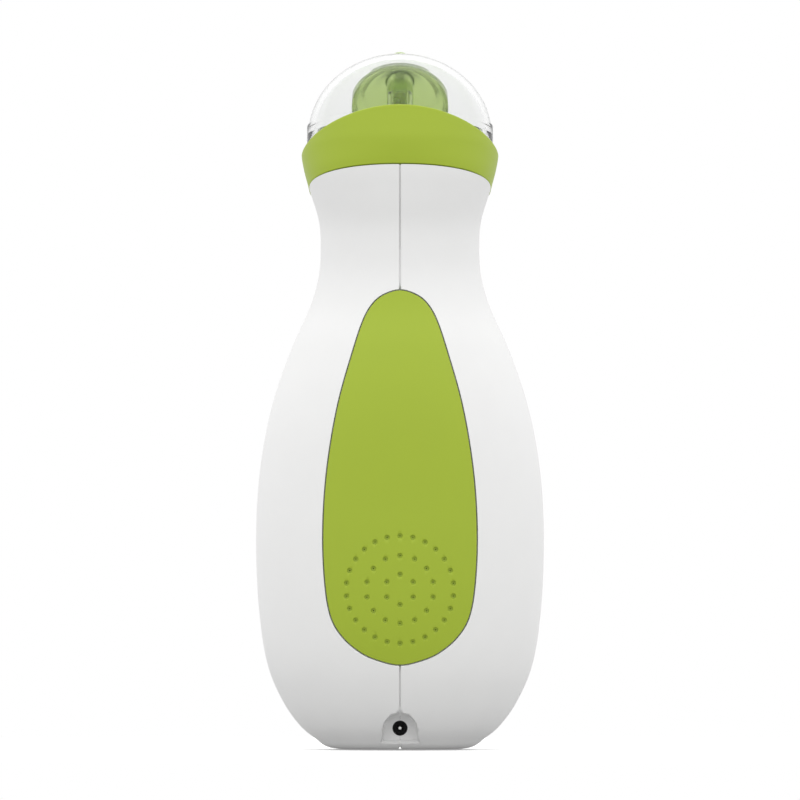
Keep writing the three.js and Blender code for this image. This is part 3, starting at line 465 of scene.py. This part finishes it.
def shell_half(name, side):
    """One half of the white shell: outer skin, rim, inner skin and the two seam faces."""
    angles = np.radians(np.linspace(-SHELL_SWEEP, SHELL_SWEEP, SHELL_COLUMNS))
    corner = len(SEAM_ROUNDS)
    body = slice(corner, corner + SHELL_COLUMNS)

    def loop_at(z_nominal, inset, spread=1.0, outer=True):
        """A half ring of points from the front seam to the back seam."""
        x = np.zeros(SHELL_COLUMNS + 2 * corner)
        y = np.zeros_like(x)
        z = np.full_like(x, z_nominal)
        lift = smoothstep(z_nominal, EDGE_BLEND, EDGE_HEIGHT)
        for _ in range(4):
            width, depth, power = section(z, inset)
            p = 2 / power[body]
            x[body] = SEAM + (width[body] - SEAM) * np.cos(angles) ** p
            y[body] = depth[body] * np.sign(np.sin(angles)) * np.abs(np.sin(angles)) ** p
            for ends, sign, where in ((SEAM_ROUNDS[::-1], -1, slice(0, corner)),
                                      (SEAM_ROUNDS, 1, slice(-corner, None))):
                x[where] = SEAM + ends[:, 0]
                dip = ends[:, 1] if outer else 0.0
                y[where] = sign * (skin_depth(x[where], z[where], inset) - dip)
            tuck = BACK_TUCK * smoothstep(z, *TUCK_BETWEEN)
            y = np.where(y > 0, y * (1 - tuck), y)
            z = z_nominal + lift * (EDGE_SLOPE * y - GAP / 2)
        if not outer:
            boss = (np.abs(x) < BOSS_HALF_WIDTH) & (z < BOSS_TOP) & (y > BOSS_FACE)
            y = np.where(boss, BOSS_FACE, y)
        if spread < 1:
            x, y = SEAM + (x - SEAM) * spread, y * spread
        if outer and z_nominal < NOTCH_FADE:
            z = z + NOTCH_HEIGHT * np.clip(1 - x / NOTCH_WIDTH, 0, 1) * (1 - z_nominal / NOTCH_FADE)
        return np.column_stack([x, y, z])

    def heights(low):
        return np.concatenate([np.linspace(low, low + WALL, FOOT_ROWS, endpoint=False),
                               np.linspace(low + WALL, EDGE_HEIGHT, SHELL_ROWS - FOOT_ROWS)])

    outer = [loop_at(0.0, 0.0, spread) for spread in BASE_SPREADS]
    outer += [loop_at(height, 0.0) for height in heights(0)]
    inner = [loop_at(WALL, WALL, spread, False) for spread in BASE_SPREADS]
    inner += [loop_at(height, WALL, 1.0, False) for height in heights(WALL)]
    loops = outer + inner[::-1]
    count = len(loops[0])
    verts = np.concatenate(loops) * (side, 1, 1)
    faces = []
    for row in range(len(loops) - 1):
        a, b = row * count, (row + 1) * count
        faces += [(a + i, a + i + 1, b + i + 1, b + i) for i in range(count - 1)]
    total = len(loops)
    for column in (0, count - 1):
        for row in range(len(outer) - 1):
            twin = total - 1 - row
            faces.append((row * count + column, (row + 1) * count + column,
                          (twin - 1) * count + column, twin * count + column))
    middle = [(i, (total - 1) * count + i) for i in (0, count - 1)]
    faces.append(tuple(range(count)))
    faces.append(tuple((total - 1) * count + i for i in range(count)))
    faces.append((middle[0][0], middle[0][1], middle[1][1], middle[1][0]))
    return make_mesh(name, verts, faces)


def arch_loop(y, foot, foot_width, radius, count=40):
    """The charging recess's outline at one depth: a round arch on legs that splay at the foot."""
    angles = np.linspace(0, math.pi, count)
    arc = np.column_stack([radius * np.cos(angles), ARCH_CENTRE + radius * np.sin(angles)])
    legs = [(-radius, LEG_TOP), (-foot_width, foot), (0, foot), (foot_width, foot), (radius, LEG_TOP)]
    outline = np.concatenate([arc, np.array(legs)])
    return np.column_stack([outline[:, 0], np.full(len(outline), y), outline[:, 1]])


FRONT_WALL, BACK_WALL = (-40, -20), (18, 40)
SOCKET_CLEARANCE, SOCKET_REACH = 0.03, (8, 18)
RECESS_FLARE, LENS_FLARE, BUTTON_FLARE, SIGN_FLARE = 0.12, 0.12, 0.15, 0.05
LENS_SLOT = stadium(LENS_WIDTH + 2 * GAP, LENS_LENGTH + 2 * GAP, LENS_HEIGHT)


def make_shells():
    for name, side in (("shell_left", 1), ("shell_right", -1)):
        half = shell_half(name + "_skin", side)
        cut(
            half,
            skin_cutter(TEARDROP, 1, RECESS, RECESS_FLARE, CLEAR_OF_SKIN, (0, PANEL_CENTRE)),
            skin_cutter(TEARDROP, -1, RECESS, RECESS_FLARE, CLEAR_OF_SKIN, (0, PANEL_CENTRE)),
            join([
                bar_y(circle(SPEAKER_OPENING, 0, GRILLE_HEIGHT, 96), *BACK_WALL),
                *[bar_y(circle(BUTTON_STEM + STEM_ROOM, 0, height), *FRONT_WALL)
                  for height, _ in BUTTONS.values()],
                bar_y(LENS_SLOT, *FRONT_WALL),
            ]),
            make_mesh("cutter", *stack([arch_loop(*row) for row in RECESS_LOOPS])),
            bar_y(circle(JACK_RADIUS + SOCKET_CLEARANCE, 0, JACK_HEIGHT, 64), *SOCKET_REACH),
        )
        finish_piece(half, "root", [name], white_plastic)


# ------------------------------------------------------------------ case pieces

THROUGH_PANEL = PANEL + 1.0


def teardrop_panel(name, side):
    return skin_plate(name, lambda offset=0.0: TEARDROP(offset - GAP), (0, PANEL_CENTRE),
                      side, 0.0, PANEL, PLATE_EDGE, 40)


def grille_cutter(x, z):
    """One speaker hole: wide at the face, then a fine hole on through the panel."""
    outline = circle(GRILLE_HOLE, x, z, 24)
    pinch = GRILLE_CORE - GRILLE_HOLE
    rows = [*GRILLE_MOUTH, (0.0, GRILLE_DEEP - 0.05), (-0.05, GRILLE_DEEP),
            (pinch, GRILLE_DEEP), (pinch, THROUGH_PANEL)]
    return make_mesh("cutter", *stack([on_skin(outline(offset), 1, deep) for offset, deep in rows]))


def make_rear_panel():
    panel = teardrop_panel("rear_panel_skin", 1)
    holes = []
    for count, ring in GRILLE_RINGS:
        for i in range(count):
            angle = math.pi / 2 + 2 * math.pi * i / count
            holes.append(grille_cutter(ring * math.cos(angle), GRILLE_HEIGHT + ring * math.sin(angle)))
    cut(panel, join(holes))
    finish_piece(panel, "root", ["rear_panel"], green_plastic)


def make_front_panel():
    panel = teardrop_panel("front_panel_skin", -1)
    holes = [skin_cutter(circle(radius + GAP, 0, height, 72), -1, THROUGH_PANEL, BUTTON_FLARE)
             for height, radius in BUTTONS.values()]
    cut(panel, join([*holes, skin_cutter(LENS_SLOT, -1, THROUGH_PANEL, LENS_FLARE)]))
    finish_piece(panel, "root", ["front_panel"], green_plastic)
    lens = skin_plate("level_lens_window", stadium(LENS_WIDTH, LENS_LENGTH, LENS_HEIGHT),
                      (0, LENS_HEIGHT), -1, 0.0, RECESS, LENS_EDGE, 12)
    finish_piece(lens, "root", ["level_lens"], clear_plastic)


def symbol_outlines(name, height, radius):
    """Outlines of the bars in the generic sign on a button: a plus, a minus, or a power sign."""
    reach = radius * SIGN_REACH
    if name == "power":
        return [stadium(POWER_STROKE, reach * POWER_BAR, height + reach * RING_RADIUS)]
    bars = [stadium(SIGN_STROKE, reach, height, upright=False)]
    if name == "plus":
        bars.append(stadium(SIGN_STROKE, reach, height))
    return bars


def power_ring(height, radius, top, bottom):
    """A cutter for the power sign's ring, which is open where the bar stands."""
    angles = np.linspace(math.pi / 2 + RING_GAP, 2.5 * math.pi - RING_GAP, 48)
    arc = np.column_stack([np.cos(angles), np.sin(angles)])
    middle = radius * RING_RADIUS
    ring = np.concatenate([arc * (middle + RING_HALF_STROKE), arc[::-1] * (middle - RING_HALF_STROKE)])
    loops = [on_skin(ring + (0, height), -1, level) for level in (top, bottom)]
    return make_mesh("cutter", *stack(loops))


def make_buttons():
    for name, (height, radius) in BUTTONS.items():
        cap = skin_plate(f"{name}_button_cap", circle(radius, 0, height, 96), (0, height), -1,
                         -BUTTON_PROUD, GAP, BUTTON_EDGE, 20)
        stem = bar_y(circle(BUTTON_STEM, 0, height, 40), -skin_depth(0, height, 0.0), STEM_END)
        boolean(cap, stem, "UNION")
        signs = [skin_cutter(outline, -1, SIGN_DEPTH - BUTTON_PROUD, SIGN_FLARE)
                 for outline in symbol_outlines(name, height, radius)]
        if name == "power":
            signs.append(power_ring(height, radius, -2 * BUTTON_PROUD, SIGN_DEPTH - BUTTON_PROUD))
        cut(cap, *signs)
        finish_piece(cap, f"{name}_key", [f"{name}_button"], white_plastic)


def make_jack():
    body = turned("dc_jack_barrel", [
        (0, JACK_BACK), (JACK_BORE, JACK_BACK), (JACK_BORE, JACK_FACE - JACK_SUNK),
        (JACK_RADIUS, JACK_FACE - JACK_SUNK), (JACK_RADIUS, JACK_SHOULDER),
        (JACK_BODY, JACK_SHOULDER), (JACK_BODY, JACK_END), (0, JACK_END),
    ], facing_back(JACK_HEIGHT), 64, 0.1)
    finish_piece(body, "root", ["dc_jack"], black_plastic)
    pin = turned("dc_pin_tip", [
        (0, JACK_BACK + GAP), (JACK_PIN, JACK_BACK + GAP), (JACK_PIN, JACK_FACE - PIN_SUNK - 0.3),
        (0.4, JACK_FACE - PIN_SUNK), (0, JACK_FACE - PIN_SUNK),
    ], facing_back(JACK_HEIGHT), 40, 0.2)
    finish_piece(pin, "root", ["dc_pin"], steel)


# ------------------------------------------------------------------ collar

def solve(low, high, miss):
    """Where miss() crosses zero between low and high, by halving, for a whole ring at once."""
    low, high = low.copy(), high.copy()
    for _ in range(40):
        middle = (low + high) / 2
        above = miss(middle) > 0
        high = np.where(above, middle, high)
        low = np.where(above, low, middle)
    return (low + high) / 2


def make_collar():
    count = 240
    angles = np.arange(count) * 2 * math.pi / count

    def ring(radius, s, square=True):
        """Points in the working frame at the radius and height, squared off towards the foot."""
        p = 2 / (2 + COLLAR_SQUARE * (1 - smoothstep(s, *SQUARE_BETWEEN)) * square)
        x = radius * np.sign(np.cos(angles)) * np.abs(np.cos(angles)) ** p
        y = radius * np.sign(np.sin(angles)) * np.abs(np.sin(angles)) ** p
        return in_head(np.column_stack([x, y, s * np.ones(count)]))

    def outer_radius(s):
        return cubic(COLLAR_PROFILE, s)

    def edge_miss(radius_at, square):
        """A function for how far a ring stands above the body's sloping upper edge."""
        def miss(s):
            point = ring(radius_at(s), s, square)
            return point[:, 2] - (EDGE_HEIGHT + EDGE_SLOPE * point[:, 1] + GAP / 2)
        return miss

    def rim_miss(s):
        """How far the ring stands above the slanted line of the collar's rim."""
        point = ring(RIM_RADIUS, s, False)
        from_back = point[:, 1] / np.hypot(point[:, 0], point[:, 1])
        rise = RIM_SLOPE * (from_back + np.hypot(from_back, RIM_BLEND)) / 2
        return point[:, 2] - (RIM_FRONT + rise)

    lowest, highest = np.full(count, COLLAR_SPAN[0]), np.full(count, COLLAR_SPAN[1])
    throat = COLLAR_THROAT - COLLAR_WALL
    floor = CUP_FOOT - GAP
    foot = solve(lowest, highest, edge_miss(outer_radius, True))
    inner_foot = solve(lowest, highest, edge_miss(lambda s: throat, False))
    rim = solve(lowest, highest, rim_miss)
    low, high = foot + COLLAR_FOOT_ROUND, rim - COLLAR_RIM_DROP
    loops = [ring(outer_radius(foot) - COLLAR_FOOT_ROUND, foot)]
    for t in np.linspace(0, 1, 40):
        s = low + (high - low) * t
        loops.append(ring(outer_radius(s), s))
    loops += [ring(outer_radius(rim) - back, rim - down) for down, back in RIM_OUTER_ROUND]
    loops += [ring(COLLAR_BORE + out, rim - down, False) for down, out in RIM_INNER_ROUND]
    loops += [ring(COLLAR_BORE, high + (COLLAR_SHELF - high) * t, False) for t in np.linspace(0, 1, 8)[1:]]
    loops += [ring(radius, s, False) for radius, s in (
        (COLLAR_THROAT + 0.15, COLLAR_SHELF), (COLLAR_THROAT, COLLAR_SHELF - 0.15), (COLLAR_THROAT, floor),
        (throat + 0.1, floor), (throat, floor - 0.1), (throat, inner_foot))]
    collar = make_mesh("collar_skin", *stack(loops, closed=True))
    finish_piece(collar, "root", ["collar"], green_plastic)


# ------------------------------------------------------------------ head

def make_dome():
    """The clear dome in one surface, laid out round the nozzle's axis from the nozzle's hole."""
    count = 192
    turn = np.arange(count) * 2 * math.pi / count
    nozzle = np.array([0, -math.sin(NOZZLE_TILT), math.cos(NOZZLE_TILT)])
    across = np.array([1.0, 0, 0])
    upward = np.cross(nozzle, across)
    spoke = np.outer(np.cos(turn), across) + np.outer(np.sin(turn), upward)

    def hit(radius, inset):
        """Where a bar of this radius about the nozzle's axis meets the dome's ellipsoid."""
        a, c = DOME_RADIUS - inset, DOME_HEIGHT - inset
        scale = np.array([1 / a, 1 / a, 1 / c])
        n, m = nozzle * scale, spoke * scale * radius
        lean = m @ n
        reach = (-lean + np.sqrt(lean ** 2 - (n @ n) * ((m * m).sum(1) - 1))) / (n @ n)
        return np.outer(reach, nozzle) + spoke * radius

    def arc(inset, foot, steps):
        """Loops over the ellipsoid from the edge of the nozzle's hole to the height foot."""
        a, c = DOME_RADIUS - inset, DOME_HEIGHT - inset
        start = hit(NOZZLE_HOLE + HOLE_EDGE, inset)
        first = np.arctan2((start * spoke).sum(1), start @ nozzle)

        def at(angle):
            way = np.outer(np.cos(angle), nozzle) + spoke * np.sin(angle)[:, None]
            length = 1 / np.sqrt((way[:, 0] ** 2 + way[:, 1] ** 2) / a ** 2 + way[:, 2] ** 2 / c ** 2)
            return way * length[:, None]

        last = solve(first, np.full(count, math.pi), lambda angle: foot - at(angle)[:, 2])
        return [at(first + (last - first) * t) for t in np.linspace(0, 1, steps)]

    outer = arc(0.0, SKIRT_TOP + LEDGE_ABOVE, 44)
    inner = arc(DOME_WALL, 0.0, 40)[::-1]
    aim = np.arctan2(outer[-1][:, 1], outer[-1][:, 0])

    def skirt(radius, s):
        return np.column_stack([radius * np.cos(aim), radius * np.sin(aim), np.full(count, s)])

    bore = DOME_RADIUS - DOME_WALL
    mouth = [(NOZZLE_HOLE, HOLE_EDGE), (NOZZLE_HOLE + HOLE_ROUND, HOLE_ROUND)]
    loops = [hit(radius, 0.0) - nozzle * down for radius, down in mouth] + outer
    loops += [skirt(SKIRT_RADIUS - back, SKIRT_TOP - down) for back, down in SKIRT_TOP_ROUND]
    loops += [skirt(SKIRT_RADIUS - back, SKIRT_FOOT + up) for back, up in SKIRT_FOOT_ROUND]
    loops += [skirt(bore + out, SKIRT_FOOT + up) for up, out in SKIRT_FOOT_ROUND]
    loops += inner
    loops += [hit(radius, DOME_WALL) + nozzle * up for radius, up in mouth[::-1]]
    dome = make_mesh("head_dome_shell", *stack([in_head(loop) for loop in loops], closed=True))
    finish_piece(dome, "head", ["head_dome"], clear_plastic)


def curve(table, count):
    """Profile points (radius, height) on the smooth curve through a table of (height, radius)."""
    return [(float(cubic(table, s)), s) for s in np.linspace(table[0, 0], table[-1, 0], count)]


def make_nozzle():
    plug, stem_back, hollow = NOZZLE_HOLE - GAP, NOZZLE_BACK - STEM_PROUD, CAP_HOLLOW[-1, 0]
    cap = turned("nozzle_cap_shell", [
        (plug, NOZZLE_BACK), *curve(CAP_OUTSIDE, 36),
        (SPOUT_RADIUS, SPOUT_FOOT), (SPOUT_RADIUS, SPOUT_END), (SPOUT_BORE, SPOUT_END),
        (SPOUT_BORE, stem_back), (STEM_RADIUS, stem_back), (STEM_RADIUS, hollow),
        *curve(CAP_HOLLOW, 20)[::-1], (plug - PLUG_WALL, PLUG_STEP), (plug - PLUG_WALL, NOZZLE_BACK),
    ], in_nozzle, 144, 0.3, closed=True)
    finish_piece(cap, "nozzle", ["nozzle_cap"], green_translucent)
    tip = turned("nose_tip_soft", [
        *curve(TIP_OUTSIDE, 20), (TIP_END_RADIUS, TIP_END), (TIP_BORE, TIP_END),
        (TIP_BORE, TIP_STOP), (TIP_SOCKET, TIP_STOP - 0.2), (TIP_SOCKET, TIP_OUTSIDE[0, 0]),
    ], in_nozzle, 96, 0.4, closed=True)
    finish_piece(tip, "tip", ["nose_tip"], soft_green)


def make_chamber():
    r = CUP_RADIUS
    cup = turned("chamber_cup_shell", [
        (0, CUP_FOOT), (r, CUP_FOOT), (r, SEAL_LOW), (r - SEAL_GROOVE, SEAL_LOW),
        (r - SEAL_GROOVE, SEAL_HIGH), (r, SEAL_HIGH), (r, CUP_RIM), (r - CUP_WALL, CUP_RIM),
        (r - CUP_WALL, CUP_FLOOR), (0, CUP_FLOOR),
    ], in_head, 160, 0.3)

    def at_chimney(points):
        return in_head(np.asarray(points) + (0, CHIMNEY_Y, 0))

    def rod(name, radius, low, high, segments, edge):
        profile = [(0, low), (radius, low), (radius, high), (0, high)]
        return turned(name, profile, at_chimney, segments, edge)

    boolean(cup, rod("cutter", CHIMNEY_RADIUS, CUP_FOOT + 0.5, CHIMNEY_TOP, 56, 0.35), "UNION")
    boolean(cup, rod("cutter", PORT_RADIUS, PORT_FOOT, CUP_FOOT + 1, 40, 0.2), "UNION")
    cut(
        cup,
        rod("cutter", CHIMNEY_BORE, CUP_FOOT + 2, CHIMNEY_TOP + 1, 40, 0.05),
        rod("cutter", PORT_BORE, PORT_FOOT - 1, CUP_FOOT + 3, 32, 0.05),
    )
    finish_piece(cup, "root", ["chamber_cup"], green_translucent)
    foam = rod("suction_filter_foam", CHIMNEY_BORE - GAP, FILTER_FOOT, CHIMNEY_TOP - GAP, 40, 0.3)
    finish_piece(foam, "root", ["suction_filter"], fibre)
    middle, half = (SEAL_LOW + SEAL_HIGH) / 2, (SEAL_HIGH - SEAL_LOW) / 2 - GAP / 2
    low, high = r - SEAL_GROOVE + GAP / 2, r + SEAL_PROUD
    seal = turned("dome_seal_ring", [
        (low, middle - half), (high - SEAL_NOSE, middle - half), (high, middle),
        (high - SEAL_NOSE, middle + half), (low, middle + half),
    ], in_head, 160, 0.35, closed=True)
    finish_piece(seal, "root", ["dome_seal"], rubber)


# ------------------------------------------------------------------ speaker

def make_speaker():
    basket = turned("speaker_frame_basket", BASKET_PROFILE, facing_back(GRILLE_HEIGHT), 96, 0.25,
                    closed=True)
    finish_piece(basket, "root", ["speaker_frame"], green_plastic)


# ------------------------------------------------------------------ finishes

DRIFT = 9.0


def finish(name, colour, roughness, relief=0.0016, mottle=0.015, gloss_spread=0.05, grain=0.28, **sockets):
    """A moulded or drawn surface: fine grain, uneven gloss and a faint drift of colour.

    relief and grain are the grain's height and size, and DRIFT is the size of the broad unevenness.
    """
    material = bpy.data.materials.new(name)
    material.use_nodes = True
    nodes, links = material.node_tree.nodes, material.node_tree.links
    shader = nodes["Principled BSDF"]
    for socket, value in sockets.items():
        shader.inputs[socket.replace("_", " ")].default_value = value
    place = nodes.new("ShaderNodeTexCoord")
    fine, broad = nodes.new("ShaderNodeTexNoise"), nodes.new("ShaderNodeTexNoise")
    for noise, size, detail in ((fine, grain, 3.0), (broad, DRIFT, 2.0)):
        noise.inputs["Scale"].default_value = 1 / (size * MM)
        noise.inputs["Detail"].default_value = detail
        links.new(place.outputs["Object"], noise.inputs["Vector"])
    bump = nodes.new("ShaderNodeBump")
    bump.inputs["Strength"].default_value = 1.0
    bump.inputs["Distance"].default_value = relief * MM
    links.new(fine.outputs["Fac"], bump.inputs["Height"])
    links.new(bump.outputs["Normal"], shader.inputs["Normal"])
    gloss = nodes.new("ShaderNodeMapRange")
    gloss.inputs["To Min"].default_value = roughness - gloss_spread
    gloss.inputs["To Max"].default_value = roughness + gloss_spread
    links.new(broad.outputs["Fac"], gloss.inputs["Value"])
    links.new(gloss.outputs["Result"], shader.inputs["Roughness"])
    tint = nodes.new("ShaderNodeMix")
    tint.data_type = "RGBA"
    # The Mix node's colour sockets are inputs 6 and 7 and output 2.
    tint.inputs[6].default_value = (*[min(c * (1 - mottle), 1) for c in colour], 1)
    tint.inputs[7].default_value = (*[min(c * (1 + mottle), 1) for c in colour], 1)
    links.new(broad.outputs["Fac"], tint.inputs["Factor"])
    links.new(tint.outputs[2], shader.inputs["Base Color"])
    return material


white_plastic = finish("white_plastic", (0.815, 0.815, 0.81), 0.42)
green_plastic = finish("green_plastic", (0.339, 0.448, 0.018), 0.45)
clear_plastic = finish("clear_plastic", (0.95, 0.955, 0.952), 0.05, relief=0.0002, mottle=0.002,
                       gloss_spread=0.02, Transmission_Weight=1.0, IOR=1.22)
green_translucent = finish("green_translucent", (0.54, 0.68, 0.26), 0.25, Transmission_Weight=0.9, IOR=1.3)
soft_green = finish("soft_green", (0.62, 0.74, 0.42), 0.5, Transmission_Weight=0.3, IOR=1.41)
grey_plastic = finish("grey_plastic", (0.42, 0.43, 0.44), 0.5)
black_plastic = finish("black_plastic", (0.02, 0.02, 0.022), 0.4)
rubber = finish("black_rubber", (0.025, 0.025, 0.026), 0.7, relief=0.004)
steel = finish("steel", (0.62, 0.62, 0.61), 0.28, relief=0.0008, Metallic=1.0)
copper = finish("copper", (0.78, 0.38, 0.2), 0.35, relief=0.003, grain=0.5, Metallic=1.0)
board_green = finish("board", (0.02, 0.13, 0.05), 0.4, relief=0.003, grain=0.6)
cell_sleeve = finish("cell_sleeve", (0.05, 0.2, 0.45), 0.35, relief=0.002)
fibre = finish("fibre", (0.8, 0.78, 0.72), 0.9, relief=0.02, grain=0.4)
light_window = finish("light", (0.85, 0.87, 0.8), 0.4, Transmission_Weight=0.4)


def finish_piece(piece, body, nodes, material):
    """Gives the piece its finish, and lets it stand for its CAD nodes on their body."""
    piece.data.materials.clear()
    piece.data.materials.append(material)
    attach(piece, body)
    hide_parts(*nodes)


CAD_FINISHES = {
    grey_plastic: ["chassis", "pump_crankcase", "eccentric", "valve_plate", "pump_cover"],
    black_plastic: ["motor_end_cap", "power_switch", "plus_switch", "minus_switch"],
    rubber: ["diaphragm", "inlet_valve", "outlet_valve", "suction_tube", "motor_mount"],
    steel: ["motor_can", "motor_shaft", "speaker_magnet", *[f"case_screw_{i}" for i in range(1, 5)]],
    copper: ["motor_armature"],
    board_green: ["main_board"],
    cell_sleeve: ["battery_cell_left", "battery_cell_right"],
    soft_green: ["speaker_cone"],
    light_window: [f"level_light_{i}" for i in range(1, 6)],
    white_plastic: ["connecting_rod"],
}


def dress_inner_nodes():
    for material, names in CAD_FINISHES.items():
        for name in names:
            node = frame["nodes"][name]
            node.data.materials.clear()
            node.data.materials.append(material)


# ------------------------------------------------------------------ floor, light and camera

# The floor's radius and its drop below the base, and the camera's distance and aim, are in metres.
# The bounce, seen, glow, below and above values are brightnesses.
FLOOR_RADIUS, FLOOR_DROP = 0.25, 0.0002
FLOOR_BOUNCE, FLOOR_SEEN, FLOOR_GLOW = 0.37, 0.97, 0.18
LIGHT_BELOW, LIGHT_ABOVE = 0.25, 1.6
CAMERA_BACK, AIM_HEIGHT = 6.88, 0.0900
CAMERA_LENS, SENSOR = 1200, 36


def make_floor():
    """A pale floor that looks as white as the backdrop and bounces a softer light onto the base."""
    bpy.ops.mesh.primitive_circle_add(vertices=128, radius=FLOOR_RADIUS, fill_type="NGON",
                                      location=(0, SHIFT_Y * MM, -FLOOR_DROP))
    floor = bpy.context.object
    floor.name = "floor"
    material = bpy.data.materials.new("floor")
    material.use_nodes = True
    nodes, links = material.node_tree.nodes, material.node_tree.links
    shader = nodes["Principled BSDF"]
    shader.inputs["Roughness"].default_value = 0.9
    shader.inputs["Specular IOR Level"].default_value = 0.0
    shader.inputs["Emission Color"].default_value = (1, 1, 1, 1)
    shader.inputs["Emission Strength"].default_value = FLOOR_GLOW
    path = nodes.new("ShaderNodeLightPath")
    shade = nodes.new("ShaderNodeMapRange")
    shade.inputs["To Min"].default_value = FLOOR_BOUNCE
    shade.inputs["To Max"].default_value = FLOOR_SEEN
    links.new(path.outputs["Is Camera Ray"], shade.inputs["Value"])
    links.new(shade.outputs["Result"], shader.inputs["Base Color"])
    floor.data.materials.append(material)


def make_light():
    """A plain white backdrop, and a soft dome of light that is brighter overhead than below."""
    world = bpy.data.worlds.new("studio")
    bpy.context.scene.world = world
    world.use_nodes = True
    nodes, links = world.node_tree.nodes, world.node_tree.links
    background = nodes["Background"]
    background.inputs["Color"].default_value = (1, 1, 1, 1)
    place = nodes.new("ShaderNodeTexCoord")
    split = nodes.new("ShaderNodeSeparateXYZ")
    dome = nodes.new("ShaderNodeMapRange")
    limits = {"From Min": -1, "From Max": 1, "To Min": LIGHT_BELOW, "To Max": LIGHT_ABOVE}
    for socket, value in limits.items():
        dome.inputs[socket].default_value = value
    path = nodes.new("ShaderNodeLightPath")
    # The Mix node's number sockets are inputs 2 and 3 and output 0.
    mix = nodes.new("ShaderNodeMix")
    mix.inputs[3].default_value = 1.0
    links.new(place.outputs["Generated"], split.inputs["Vector"])
    links.new(split.outputs["Z"], dome.inputs["Value"])
    links.new(path.outputs["Is Camera Ray"], mix.inputs["Factor"])
    links.new(dome.outputs["Result"], mix.inputs[2])
    links.new(mix.outputs[0], background.inputs["Strength"])


def make_camera():
    data = bpy.data.cameras.new("camera")
    data.lens, data.sensor_width = CAMERA_LENS, SENSOR
    data.clip_start, data.clip_end = 0.1, 100
    camera = bpy.data.objects.new("camera", data)
    bpy.context.scene.collection.objects.link(camera)
    camera.location = (0, CAMERA_BACK + SHIFT_Y * MM, AIM_HEIGHT)
    camera.rotation_euler = (math.pi / 2, 0, math.pi)
    bpy.context.scene.camera = camera


make_shells()
make_rear_panel()
make_front_panel()
make_buttons()
make_jack()
make_collar()
make_dome()
make_nozzle()
make_chamber()
make_speaker()
dress_inner_nodes()
make_floor()
make_light()
make_camera()
bpy.context.scene.view_settings.view_transform = "Standard"
